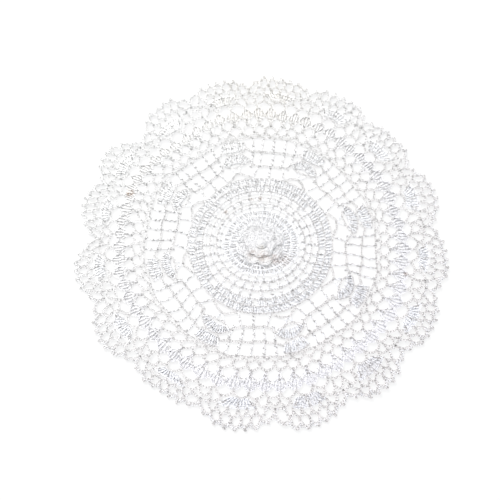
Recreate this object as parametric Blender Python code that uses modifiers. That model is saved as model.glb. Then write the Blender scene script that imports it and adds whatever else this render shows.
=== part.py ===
"""A round crocheted lace doily, 300 mm across, with a raised rose at its centre.

The doily lies flat on z = 0, with its centre on the origin.
Sizes are in metres and angles in degrees, counter-clockwise from +X.
Radii are shares of RADIUS unless a name says otherwise.
"""

import math
from collections import namedtuple

import bmesh
import bpy

# ---------------------------------------------------------------- driving sizes
RADIUS = 0.150
CLOTH_THICKNESS = 0.0016
STRAND_WIDTH = 0.0017
REPEATS = 8
FAN_DEG = 18.0
REPEAT_DEG = 360.0 / REPEATS
SCALLOP_DEG = REPEAT_DEG / 2
SHELL_DEG = SCALLOP_DEG / 4
MERGE = 0.00002

# Each scallop of the edge: where its crown really lies, how far out its crown and the
# notch after it reach, and how far out its shells lie, against the plain pattern.
Scallop = namedtuple("Scallop", "crown_deg reach notch_reach shell_reach")
SCALLOPS = (
    Scallop(20.0, 0.995, 0.987, 0.990),
    Scallop(41.7, 0.976, 0.995, 0.980),
    Scallop(63.5, 1.005, 1.018, 1.010),
    Scallop(84.5, 1.005, 1.023, 1.020),
    Scallop(105.7, 1.010, 1.023, 1.015),
    Scallop(127.5, 1.000, 0.945, 0.980),
    Scallop(149.5, 1.018, 1.005, 1.015),
    Scallop(168.7, 0.996, 0.950, 0.990),
    Scallop(190.5, 1.008, 0.990, 1.000),
    Scallop(214.0, 0.998, 0.985, 0.980),
    Scallop(238.5, 0.955, 0.991, 0.998),
    Scallop(264.0, 1.007, 1.018, 1.000),
    Scallop(287.7, 1.018, 1.013, 1.010),
    Scallop(310.6, 1.012, 1.007, 1.000),
    Scallop(333.8, 1.015, 1.018, 1.015),
    Scallop(356.5, 0.995, 0.991, 1.000),
)

# The fans and the net panels between them, by turns: where the foot and the top of
# each really lie.
NetPlace = namedtuple("NetPlace", "foot_deg top_deg")
NET_PLACES = (
    NetPlace(19.0, 18.3),
    NetPlace(41.0, 40.5),
    NetPlace(62.5, 62.0),
    NetPlace(84.0, 84.0),
    NetPlace(108.5, 106.0),
    NetPlace(128.8, 129.0),
    NetPlace(150.0, 151.0),
    NetPlace(172.0, 172.5),
    NetPlace(196.0, 195.7),
    NetPlace(218.0, 221.0),
    NetPlace(243.5, 243.5),
    NetPlace(267.0, 266.3),
    NetPlace(290.3, 290.0),
    NetPlace(311.7, 310.8),
    NetPlace(334.5, 332.5),
    NetPlace(356.0, 354.3),
)
SCALLOP_CROWN = 0.995
NOTCH_DEPTH = 0.062
SCALLOP_STEPS = 9

# Where the sway and the pull of each part of the cloth set in and are full.
Onset = namedtuple("Onset", "starts full")
FAN_FOOT, FAN_TOP, CROWN = Onset(0.34, 0.42), Onset(0.44, 0.58), Onset(0.58, 0.72)
SHELL_PULL, EDGE_PULL = Onset(0.46, 0.66), Onset(0.80, 0.97)

# Each round of net cells in a panel, between the stitches at these angles
# from the panel's middle. A cell's corners are rounded by cutting them off.
NetRound = namedtuple("NetRound", "inner outer inner_angles outer_angles")
NET_ROUNDS = (
    NetRound(0.387, 0.457, (-15.8, -11.8, 0.0, 11.8, 15.8), (-19.0, -8.6, 0.0, 8.6, 19.0)),
    NetRound(0.457, 0.538, (-12.3, -6.6, 0.0, 6.6, 12.3), (-12.1, -6.3, 0.0, 6.3, 12.1)),
    NetRound(0.538, 0.617, (-12.1, -6.2, 0.0, 6.2, 12.1), (-11.9, -6.1, 0.0, 6.1, 11.9)),
)
CORNER_CUT = 0.16

# The three-cornered gap under each fan.
FAN_GAP_HALF_DEG, FAN_GAP_FOOT, FAN_GAP_TOP = 5.6, 0.388, 0.424

# The tall gaps of the border, 64 to a round: between the shells and in the loops on them.
TallGap = namedtuple("TallGap", "bottom waist top half_deg")
TALL_GAPS = (
    TallGap(0.668, 0.707, 0.752, 2.1),
    TallGap(0.768, 0.803, 0.838, 2.1),
)

# ---------------------------------------------------------------- the rose
# A layer of petals: inner and outer radius, heights of its root and tips,
# in metres, and the angle of its first petal.
PetalLayer = namedtuple("PetalLayer", "name petals inner outer root_height tip_height turn_deg")
PETAL_LAYERS = (
    PetalLayer("outer_petals", 8, 0.0050, 0.0178, 0.0012, 0.0046, 17.0),
    PetalLayer("inner_petals", 8, 0.0035, 0.0108, 0.0030, 0.0092, 39.5),
)
PETAL_THICKNESS = 0.0016
PETAL_NOTCH = 0.26
PETAL_STEPS_ROUND = 6
PETAL_STEPS_OUT = 3
BUD_RADIUS = 0.0054
BUD_HALF_HEIGHT = 0.0038
BUD_TOP = 0.0094
CORE_RADIUS = 0.0058
CORE_BOTTOM, CORE_TOP = 0.0006, 0.0052

WHITE_COTTON = (0.88, 0.88, 0.89, 1.0)


def smooth_step(low, high, value):
    share = min(max((value - low) / (high - low), 0.0), 1.0)
    return share * share * (3.0 - 2.0 * share)


def between(angle, step, column):
    """The column's value at this nominal angle, eased from one place to the next."""
    place = (angle - FAN_DEG) / step
    first = math.floor(place)
    ease = smooth_step(0.0, 1.0, place - first)
    low, high = column(first), column(first + 1)
    return low + (high - low) * ease


def crown_sway(index):
    """How far a crown lies from its nominal angle."""
    row = index % len(SCALLOPS)
    return SCALLOPS[row].crown_deg - FAN_DEG - SCALLOP_DEG * row


def foot_sway(index):
    row = index % len(NET_PLACES)
    return NET_PLACES[row].foot_deg - FAN_DEG - SCALLOP_DEG * row


def top_sway(index):
    row = index % len(NET_PLACES)
    return NET_PLACES[row].top_deg - FAN_DEG - SCALLOP_DEG * row


def shell_reach(index):
    return SCALLOPS[index % len(SCALLOPS)].shell_reach


def edge_reach(index):
    """The reach of a crown, or of the notch after it, by turns."""
    scallop = SCALLOPS[index // 2 % len(SCALLOPS)]
    return scallop.notch_reach if index % 2 else scallop.reach


def as_laid(share, angle):
    """The place on the table of a point of the pattern, in metres."""
    foot = between(angle, SCALLOP_DEG, foot_sway)
    top = between(angle, SCALLOP_DEG, top_sway)
    crown = between(angle, SCALLOP_DEG, crown_sway)
    sway = foot * smooth_step(*FAN_FOOT, share)
    sway += (top - foot) * smooth_step(*FAN_TOP, share)
    sway += (crown - top) * smooth_step(*CROWN, share)
    shell = between(angle, SCALLOP_DEG, shell_reach)
    edge = between(angle, SCALLOP_DEG / 2, edge_reach)
    reach = 1.0 + (shell - 1.0) * smooth_step(*SHELL_PULL, share)
    reach += (edge - shell) * smooth_step(*EDGE_PULL, share)
    radius = RADIUS * share * reach
    turned = math.radians(angle + sway)
    return (radius * math.cos(turned), radius * math.sin(turned))


def scalloped_outline():
    points = []
    for index in range(len(SCALLOPS) * SCALLOP_STEPS):
        across = (index % SCALLOP_STEPS) / SCALLOP_STEPS * 2.0 - 1.0  # from notch to notch
        share = SCALLOP_CROWN - NOTCH_DEPTH * abs(across) ** 2.4
        angle = FAN_DEG + SCALLOP_DEG * (index / SCALLOP_STEPS - 0.5)
        points.append(as_laid(share, angle))
    return points


def inset(corners):
    """A cell's clear opening: its sides moved in by half a strand, in metres."""
    half = STRAND_WIDTH / 2
    lines = []
    for (x0, y0), (x1, y1) in zip(corners, corners[1:] + corners[:1]):
        length = math.hypot(x1 - x0, y1 - y0)
        nx, ny = (y0 - y1) / length, (x1 - x0) / length
        lines.append((nx, ny, nx * x0 + ny * y0 + half))
    moved = []
    for (a, b, c), (d, e, f) in zip(lines[-1:] + lines[:-1], lines):
        det = a * e - b * d
        moved.append(((c * e - b * f) / det, (a * f - c * d) / det))
    return moved


def cut_corners(corners):
    """Each corner becomes two points, a share of the way along its sides."""
    rounded = []
    for (xa, ya), (xb, yb), (xc, yc) in zip(corners[-1:] + corners[:-1], corners, corners[1:] + corners[:1]):
        rounded.append((xb + (xa - xb) * CORNER_CUT, yb + (ya - yb) * CORNER_CUT))
        rounded.append((xb + (xc - xb) * CORNER_CUT, yb + (yc - yb) * CORNER_CUT))
    return rounded


def net_cells():
    """The clear openings of the net panels, anticlockwise."""
    cells = []
    for repeat in range(REPEATS):
        middle = FAN_DEG + REPEAT_DEG * (repeat + 0.5)
        for net in NET_ROUNDS:
            for k in range(len(net.inner_angles) - 1):
                corners = [
                    as_laid(net.inner, middle + net.inner_angles[k]),
                    as_laid(net.outer, middle + net.outer_angles[k]),
                    as_laid(net.outer, middle + net.outer_angles[k + 1]),
                    as_laid(net.inner, middle + net.inner_angles[k + 1]),
                ]
                cells.append(cut_corners(inset(corners)))
    return cells


def fan_gaps():
    """The flat gap between the dense band and the foot of each fan."""
    gaps = []
    for repeat in range(REPEATS):
        middle = FAN_DEG + REPEAT_DEG * repeat
        corners = [
            as_laid(FAN_GAP_FOOT, middle - FAN_GAP_HALF_DEG),
            as_laid(FAN_GAP_FOOT, middle + FAN_GAP_HALF_DEG),
            as_laid(FAN_GAP_TOP, middle + FAN_GAP_HALF_DEG * 0.25),
            as_laid(FAN_GAP_TOP, middle - FAN_GAP_HALF_DEG * 0.25),
        ]
        gaps.append(inset(corners[::-1]))
    return gaps


def tall_gaps():
    """The tall gaps of the border, all the way round."""
    gaps = []
    for gap in TALL_GAPS:
        for index in range(round(360.0 / SHELL_DEG)):
            middle = FAN_DEG + SHELL_DEG * index
            corners = [
                as_laid(gap.bottom, middle - gap.half_deg * 0.3),
                as_laid(gap.bottom, middle + gap.half_deg * 0.3),
                as_laid(gap.waist, middle + gap.half_deg),
                as_laid(gap.top, middle + gap.half_deg * 0.3),
                as_laid(gap.top, middle - gap.half_deg * 0.3),
                as_laid(gap.waist, middle - gap.half_deg),
            ]
            gaps.append(corners)
    return gaps


def cotton(name):
    material = bpy.data.materials.new(name)
    material.use_nodes = True
    shader = material.node_tree.nodes["Principled BSDF"]
    shader.inputs["Base Color"].default_value = WHITE_COTTON
    shader.inputs["Roughness"].default_value = 0.85
    shader.inputs["Metallic"].default_value = 0.0
    return material


def add_outline(curve, points):
    spline = curve.splines.new("POLY")
    spline.points.add(len(points) - 1)
    for point, (x, y) in zip(spline.points, points):
        point.co = (x, y, 0.0, 1.0)
    spline.use_cyclic_u = True


def lace_sheet(collection):
    """The whole cloth as a flat outline with its largest gaps cut through."""
    curve = bpy.data.curves.new("doily", "CURVE")
    curve.dimensions = "2D"
    curve.fill_mode = "BOTH"
    curve.extrude = CLOTH_THICKNESS / 2
    add_outline(curve, scalloped_outline())
    for gap in net_cells() + fan_gaps() + tall_gaps():
        add_outline(curve, gap)
    flat = bpy.data.objects.new("doily_outline", curve)
    flat.location.z = CLOTH_THICKNESS / 2
    bpy.context.scene.collection.objects.link(flat)
    bpy.context.view_layer.update()
    mesh = bpy.data.meshes.new_from_object(flat.evaluated_get(bpy.context.evaluated_depsgraph_get()))
    sheet = bpy.data.objects.new("doily", mesh)
    sheet.matrix_world = flat.matrix_world.copy()
    bpy.data.objects.remove(flat)
    work = bmesh.new()
    work.from_mesh(mesh)
    bmesh.ops.remove_doubles(work, verts=work.verts, dist=MERGE)
    work.to_mesh(mesh)
    work.free()
    mesh.materials.clear()
    mesh.materials.append(cotton("white_cotton"))
    collection.objects.link(sheet)
    return sheet


def petal_ring(layer, collection):
    """One layer of joined petals: a cupped, lobed ring made solid."""
    columns = layer.petals * PETAL_STEPS_ROUND
    work = bmesh.new()
    rings = []
    for out in range(PETAL_STEPS_OUT + 1):
        share = out / PETAL_STEPS_OUT
        ring = []
        for column in range(columns):
            angle = math.radians(layer.turn_deg) + 2.0 * math.pi * column / columns
            lobe = abs(math.cos(layer.petals * (angle - math.radians(layer.turn_deg)) / 2.0)) ** 0.6
            tip = layer.outer * (1.0 - PETAL_NOTCH * (1.0 - lobe))
            radius = layer.inner + (tip - layer.inner) * share
            rise = (layer.tip_height - layer.root_height) * (0.35 + 0.65 * lobe)
            height = layer.root_height + rise * share**1.3
            ring.append(work.verts.new((radius * math.cos(angle), radius * math.sin(angle), height)))
        rings.append(ring)
    for low, high in zip(rings, rings[1:]):
        for column in range(columns):
            beside = (column + 1) % columns
            work.faces.new((low[column], high[column], high[beside], low[beside]))
    mesh = bpy.data.meshes.new(layer.name)
    work.to_mesh(mesh)
    work.free()
    petals = bpy.data.objects.new(layer.name, mesh)
    solid = petals.modifiers.new("thickness", "SOLIDIFY")
    solid.thickness = PETAL_THICKNESS
    solid.offset = 0.0
    collection.objects.link(petals)
    return petals


def rose_bud(collection):
    """The domed bud in the middle."""
    mesh = bpy.data.meshes.new("bud")
    work = bmesh.new()
    bmesh.ops.create_uvsphere(work, u_segments=16, v_segments=8, radius=BUD_RADIUS)
    bmesh.ops.scale(work, verts=work.verts, vec=(1.0, 1.0, BUD_HALF_HEIGHT / BUD_RADIUS))
    work.to_mesh(mesh)
    work.free()
    bud = bpy.data.objects.new("bud", mesh)
    bud.location.z = BUD_TOP - BUD_HALF_HEIGHT
    collection.objects.link(bud)
    return bud


def rose_core(collection):
    """The stem that holds the bud and both layers of petals on the cloth."""
    mesh = bpy.data.meshes.new("core")
    work = bmesh.new()
    bmesh.ops.create_cone(
        work,
        cap_ends=True,
        segments=20,
        radius1=CORE_RADIUS * 1.35,
        radius2=CORE_RADIUS,
        depth=CORE_TOP - CORE_BOTTOM,
    )
    work.to_mesh(mesh)
    work.free()
    core = bpy.data.objects.new("core", mesh)
    core.location.z = (CORE_TOP + CORE_BOTTOM) / 2
    collection.objects.link(core)
    return core


def join_to(base, piece):
    """Crochets the piece on: both become one body."""
    piece.hide_render = True
    piece.display_type = "WIRE"
    union = base.modifiers.new(f"with_{piece.name}", "BOOLEAN")
    union.operation = "UNION"
    union.solver = "EXACT"
    union.object = piece


def main():
    for old in list(bpy.data.objects):
        bpy.data.objects.remove(old)
    parts = bpy.data.collections.new("lace_doily")
    guides = bpy.data.collections.new("rose_guides")
    for collection in (parts, guides):
        bpy.context.scene.collection.children.link(collection)
    doily = lace_sheet(parts)
    join_to(doily, rose_core(guides))
    for layer in PETAL_LAYERS:
        join_to(doily, petal_ring(layer, guides))
    join_to(doily, rose_bud(guides))


main()
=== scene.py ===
"""The looks of the crocheted lace doily: its thread, stitch by stitch and round by round.

The pattern is worked flat, in shares of the radius and in degrees anticlockwise from +X.
as_laid() then puts every point of thread where it really lies, with the cloth's unevenness.
All other sizes are in metres.
"""

import math
from collections import namedtuple

import bpy
import numpy as np
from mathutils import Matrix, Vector


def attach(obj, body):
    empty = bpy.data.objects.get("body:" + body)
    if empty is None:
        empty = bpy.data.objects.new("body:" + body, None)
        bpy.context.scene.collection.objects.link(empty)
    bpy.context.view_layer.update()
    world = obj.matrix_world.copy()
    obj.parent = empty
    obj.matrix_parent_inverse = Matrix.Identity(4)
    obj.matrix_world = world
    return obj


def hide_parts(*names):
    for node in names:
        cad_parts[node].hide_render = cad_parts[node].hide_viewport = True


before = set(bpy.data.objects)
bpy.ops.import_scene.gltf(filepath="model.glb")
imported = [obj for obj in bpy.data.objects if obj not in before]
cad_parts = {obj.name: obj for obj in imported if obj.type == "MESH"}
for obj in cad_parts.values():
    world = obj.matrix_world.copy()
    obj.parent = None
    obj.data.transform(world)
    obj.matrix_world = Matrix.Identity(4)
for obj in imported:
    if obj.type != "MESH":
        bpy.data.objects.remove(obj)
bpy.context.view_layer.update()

# ---- the pattern's sizes
RADIUS = 0.150
REPEATS = 8
FAN_DEG = 18.0
REPEAT_DEG = 360.0 / REPEATS
SCALLOP_DEG = REPEAT_DEG / 2
SHELL_DEG = SCALLOP_DEG / 4
SHELLS = 64

# Each scallop of the edge: where its crown really lies, how far out its crown and the
# notch after it reach, and how far out its shells lie, against the plain pattern.
Scallop = namedtuple("Scallop", "crown_deg reach notch_reach shell_reach")
SCALLOPS = (
    Scallop(20.0, 0.995, 0.987, 0.990),
    Scallop(41.7, 0.976, 0.995, 0.980),
    Scallop(63.5, 1.005, 1.018, 1.010),
    Scallop(84.5, 1.005, 1.023, 1.020),
    Scallop(105.7, 1.010, 1.023, 1.015),
    Scallop(127.5, 1.000, 0.945, 0.980),
    Scallop(149.5, 1.018, 1.005, 1.015),
    Scallop(168.7, 0.996, 0.950, 0.990),
    Scallop(190.5, 1.008, 0.990, 1.000),
    Scallop(214.0, 0.998, 0.985, 0.980),
    Scallop(238.5, 0.955, 0.991, 0.998),
    Scallop(264.0, 1.007, 1.018, 1.000),
    Scallop(287.7, 1.018, 1.013, 1.010),
    Scallop(310.6, 1.012, 1.007, 1.000),
    Scallop(333.8, 1.015, 1.018, 1.015),
    Scallop(356.5, 0.995, 0.991, 1.000),
)

# The fans and the net panels between them, by turns: where the foot and the top of
# each really lie.
NetPlace = namedtuple("NetPlace", "foot_deg top_deg")
NET_PLACES = (
    NetPlace(19.0, 18.3),
    NetPlace(41.0, 40.5),
    NetPlace(62.5, 62.0),
    NetPlace(84.0, 84.0),
    NetPlace(108.5, 106.0),
    NetPlace(128.8, 129.0),
    NetPlace(150.0, 151.0),
    NetPlace(172.0, 172.5),
    NetPlace(196.0, 195.7),
    NetPlace(218.0, 221.0),
    NetPlace(243.5, 243.5),
    NetPlace(267.0, 266.3),
    NetPlace(290.3, 290.0),
    NetPlace(311.7, 310.8),
    NetPlace(334.5, 332.5),
    NetPlace(356.0, 354.3),
)

# Where each unevenness of the cloth sets in and is full, in shares of the radius.
Onset = namedtuple("Onset", "starts full")
FAN_FOOT = Onset(0.34, 0.42)
FAN_TOP = Onset(0.44, 0.58)
CROWN = Onset(0.58, 0.72)
SHELL_PULL = Onset(0.46, 0.66)
EDGE_PULL = Onset(0.80, 0.97)
DISC_EDGE = Onset(0.10, 0.19)
PAST_DISC = Onset(0.20, 0.30)
LOOSE = Onset(0.30, 0.55)
LIFTED = Onset(0.55, 0.95)
DISC_PRESSED = 0.0036  # how far the near edge of the disc lies in, in metres
CENTRE_LOOSENESS = 0.25  # the share of the shifts below that reaches the centre
# The slow random shifts of the cloth: how far, over what length, and a seed each way.
Shift = namedtuple("Shift", "amount cell seed_x seed_y")
SHIFTS = (Shift(0.0011, 0.011, 3, 5), Shift(0.0011, 0.028, 4, 6))
# How far the edge is lifted on average, and the length over which that varies.
EDGE_LIFT = 0.0009
LIFT_CELL = 0.024
LIFT_SEED = 7
NOISE_GRID = 64

# ---- the thread
THREAD_RADIUS = 0.00034
THREAD_SIDES = 4
PLY_LENGTH = 0.0011
CHAIN_PITCH = 0.0020
CHAIN_SLACK = (0.85, 1.2)  # how wide a stitch of chain is, from tight to loose
BAR_BOW = 0.006  # how far a span of chain bows out, as a share of the radius
BAR_STEPS = 6
CLOTH_MIDDLE = 0.00135  # the height at which the stitches are worked
BED_HEIGHT = 0.00035
BED_SPACING = 0.00085
BED_WAVE = 0.00018
POST_TWIST_RADIUS = 0.00033
POST_UNEVENNESS = 0.00025
POST_POINTS = 6
LONG_POST_POINTS = 9
WRAP_POINTS = 6
WRAP_TILT = 0.55
WRAP_STOUTNESS = 1.7  # a wrap's radius against that of the twist it goes round
WRAP_SLIDE = 0.1  # how far a wrap may slide either way, as a share of its post
KNOT_RADIUS = 0.00060
KNOT_HALF_GAP = 0.00045
KNOT_TILT = 0.3
LOOP_WIDTH = 1.6  # how wide the chain of a loop is worked
UP = np.array([0.0, 0.0, 1.0])
LEVEL = np.array([1.0, 1.0, 0.0])  # times a point, it leaves out the height
# Where thread climbs so steeply that UP gives no sideways direction, another one does.
STEEP = 0.25
STEEP_SIDE = np.array([0.96, 0.28, 0.0])

# One chain stitch, from its tail round its head: along in pitches, across and up in metres.
LoopPoint = namedtuple("LoopPoint", "along across up")
CHAIN_LOOP = (
    LoopPoint(-0.12, 0.0, -0.00034),
    LoopPoint(0.28, 0.00045, 0.00010),
    LoopPoint(0.84, 0.00050, 0.00028),
    LoopPoint(1.20, 0.00022, 0.00006),
    LoopPoint(1.20, -0.00022, 0.00006),
    LoopPoint(0.84, -0.00050, 0.00028),
    LoopPoint(0.28, -0.00045, 0.00010),
)
# Which cotton a stitch has: single chain and lone posts are painted darker than dense stitches,
# painted shade for how they look against the bright table, and the small shells lie in between.
DENSE, LONE, SHELL = 0, 1, 2
# All unevenness of the stitches comes from here, in the same order every time.
rng = np.random.default_rng(17)


# ---- how the cloth lies
def smooth_step(low, high, value):
    """From 0 to 1 as the value goes from low to high, with no corner at either end."""
    share = np.clip((value - low) / (high - low), 0.0, 1.0)
    return share * share * (3.0 - 2.0 * share)


def between(angle, step, values):
    """The values at these nominal angles, eased from one place to the next, a step apart."""
    place = (angle - FAN_DEG) / step
    first = np.floor(place)
    ease = smooth_step(0.0, 1.0, place - first)
    row = first.astype(int)
    low, high = values[row % len(values)], values[(row + 1) % len(values)]
    return low + (high - low) * ease


def sways(degrees):
    """How far each of these places lies from its nominal angle."""
    return np.array(degrees) - FAN_DEG - SCALLOP_DEG * np.arange(len(degrees))


CROWN_SWAY = sways([s.crown_deg for s in SCALLOPS])
FOOT_SWAY = sways([p.foot_deg for p in NET_PLACES])
TOP_SWAY = sways([p.top_deg for p in NET_PLACES])
SHELL_REACH = np.array([s.shell_reach for s in SCALLOPS])
EDGE_REACH = np.array([[s.reach, s.notch_reach] for s in SCALLOPS]).ravel()


def lattice_noise(x, y, cell, seed):
    """Smooth noise from -1 to 1 over the plane, with features about a cell wide."""
    grid = np.random.default_rng(seed).uniform(-1.0, 1.0, (NOISE_GRID, NOISE_GRID))
    u = x / cell + NOISE_GRID / 2
    v = y / cell + NOISE_GRID / 2
    i = np.floor(u).astype(int)
    j = np.floor(v).astype(int)
    a = smooth_step(0.0, 1.0, u - i)
    b = smooth_step(0.0, 1.0, v - j)
    i = i % (NOISE_GRID - 1)
    j = j % (NOISE_GRID - 1)
    near = grid[i, j] * (1 - a) + grid[i + 1, j] * a
    far = grid[i, j + 1] * (1 - a) + grid[i + 1, j + 1] * a
    return near * (1 - b) + far * b


def as_laid(points):
    """Pattern points, in metres, to where they lie on the table."""
    x, y, z = points.T
    radius = np.hypot(x, y)
    share = radius / RADIUS
    angle = np.degrees(np.arctan2(y, x))
    # the fans, the net and the scallops lie turned from their nominal angles
    foot = between(angle, SCALLOP_DEG, FOOT_SWAY)
    top = between(angle, SCALLOP_DEG, TOP_SWAY)
    crown = between(angle, SCALLOP_DEG, CROWN_SWAY)
    sway = foot * smooth_step(*FAN_FOOT, share)
    sway += (top - foot) * smooth_step(*FAN_TOP, share)
    sway += (crown - top) * smooth_step(*CROWN, share)
    turned = np.radians(angle + sway)
    # the shells and the scallops lie pulled out or in, and the near edge of the disc in
    shell = between(angle, SCALLOP_DEG, SHELL_REACH)
    edge = between(angle, SCALLOP_DEG / 2, EDGE_REACH)
    reach = 1.0 + (shell - 1.0) * smooth_step(*SHELL_PULL, share)
    reach += (edge - shell) * smooth_step(*EDGE_PULL, share)
    radius = radius * reach
    pressed = smooth_step(*DISC_EDGE, share) * (1.0 - smooth_step(*PAST_DISC, share))
    nearness = np.clip(-np.sin(np.radians(angle)), 0.0, 1.0)
    radius = radius - DISC_PRESSED * pressed * nearness**2
    # all of it is shifted a little, most of all outside the centre, and its edge is lifted
    loose = CENTRE_LOOSENESS + (1.0 - CENTRE_LOOSENESS) * smooth_step(*LOOSE, share)
    shift_x = sum(s.amount * lattice_noise(x, y, s.cell, s.seed_x) for s in SHIFTS)
    shift_y = sum(s.amount * lattice_noise(x, y, s.cell, s.seed_y) for s in SHIFTS)
    lift = EDGE_LIFT * smooth_step(*LIFTED, share) * (1.0 + lattice_noise(x, y, LIFT_CELL, LIFT_SEED))
    laid_x = radius * np.cos(turned) + shift_x * loose
    laid_y = radius * np.sin(turned) + shift_y * loose
    return np.stack([laid_x, laid_y, z + lift], axis=1)


# ---- polar places and paths
def spots(shares, degrees, height=CLOTH_MIDDLE):
    """Points of the pattern, one for each angle, in metres."""
    degrees = np.radians(np.asarray(degrees, float))
    radii = np.broadcast_to(np.asarray(shares, float) * RADIUS, degrees.shape)
    heights = np.broadcast_to(np.asarray(height, float), degrees.shape)
    return np.stack([radii * np.cos(degrees), radii * np.sin(degrees), heights], axis=-1)


def ring_path(share, steps=256):
    """A full circle."""
    return spots(share, np.linspace(0.0, 360.0, steps + 1))


def arch(start, end, peak, fullness, lean, steps=17):
    """A loop of chain from one (share, degrees) foot to the next, rising to the peak share.

    A fullness under 1 gives steep legs and a broad top.
    """
    t = (1.0 - np.cos(np.linspace(0.0, np.pi, steps))) / 2.0
    bow = np.sin(np.pi * t) ** fullness
    shares = start[0] + (end[0] - start[0]) * t + (peak - (start[0] + end[0]) / 2.0) * bow
    degrees = start[1] + (end[1] - start[1]) * t + lean * bow
    return spots(shares, degrees)


def bar(knots, bow=BAR_BOW):
    """A run of chain through (share, degrees) knots, most spans bowed a little outwards."""
    pieces = []
    for (r0, a0), (r1, a1) in zip(knots, knots[1:]):
        t = np.linspace(0.0, 1.0, BAR_STEPS + 1)[:-1]
        swell = bow * rng.uniform(-0.3, 1.0) * np.sin(np.pi * t)
        pieces.append(spots(r0 + (r1 - r0) * t + swell, a0 + (a1 - a0) * t))
    pieces.append(spots(knots[-1][0], [knots[-1][1]]))
    return np.concatenate(pieces)


def straight(bottoms, tops):
    """Straight paths, one from each bottom point to its top point."""
    return np.stack([bottoms, tops], axis=1)


def eased_path(paths, share):
    """Points at these shares of each path, on the smooth curve that its guide points draw."""
    order = paths.shape[1] - 1
    weights = np.array([
        math.comb(order, k) * share**k * (1.0 - share) ** (order - k)
        for k in range(order + 1)
    ])
    return np.einsum("kt,nkc->ntc", weights, paths)


# ---- stitches as thread
def level_side(forward):
    """To the left of each of these directions, and level."""
    return np.stack([-forward[:, 1], forward[:, 0], np.zeros(len(forward))], axis=1)


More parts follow.
